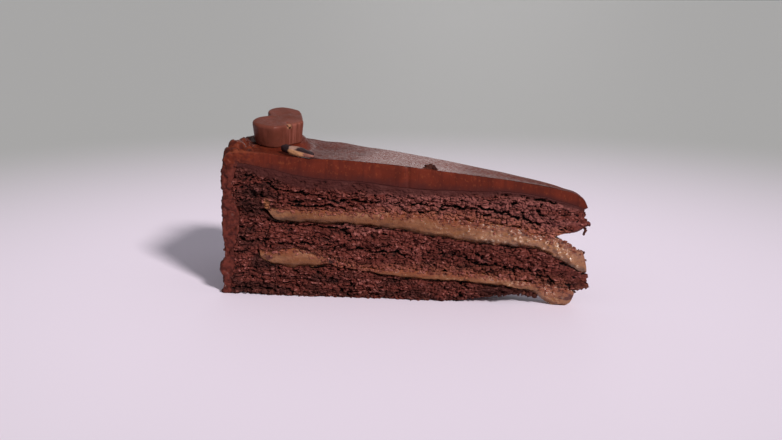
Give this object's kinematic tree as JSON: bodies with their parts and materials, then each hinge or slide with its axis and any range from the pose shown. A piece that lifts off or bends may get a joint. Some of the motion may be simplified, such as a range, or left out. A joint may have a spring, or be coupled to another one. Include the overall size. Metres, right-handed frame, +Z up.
{
  "type": "caramel layer cake slice",
  "caption": "Thin wedge of chocolate layer cake with caramel between the sponges, chocolate frosting on top and rim, a chocolate heart and a nut shard.",
  "frame": {"origin": "middle of the bounding box in plan, at the height of the surface that the slice stands on", "axes": "+X from the frosted rim to the tip of the wedge, -Y the cut face that the picture shows, +Z up"},
  "size_m": [0.1232, 0.0476, 0.0603],
  "materials": {
    "frosting": "smooth set chocolate ganache with a satin sheen",
    "sponge": "dark chocolate sponge, torn and crumbly, matte",
    "caramel": "thick cooked caramel, moist and glossy",
    "chocolate": "moulded chocolate with a soft sheen",
    "nut": "split roasted nut, matte"
  },
  "bodies": {
    "root": {"frosting": "frosting", "sponge_top": "sponge", "sponge_middle": "sponge", "sponge_bottom": "sponge", "caramel_upper": "caramel", "caramel_lower": "caramel", "chocolate_heart": "chocolate", "nut_shard": "nut"}
  },
  "joints": []
}
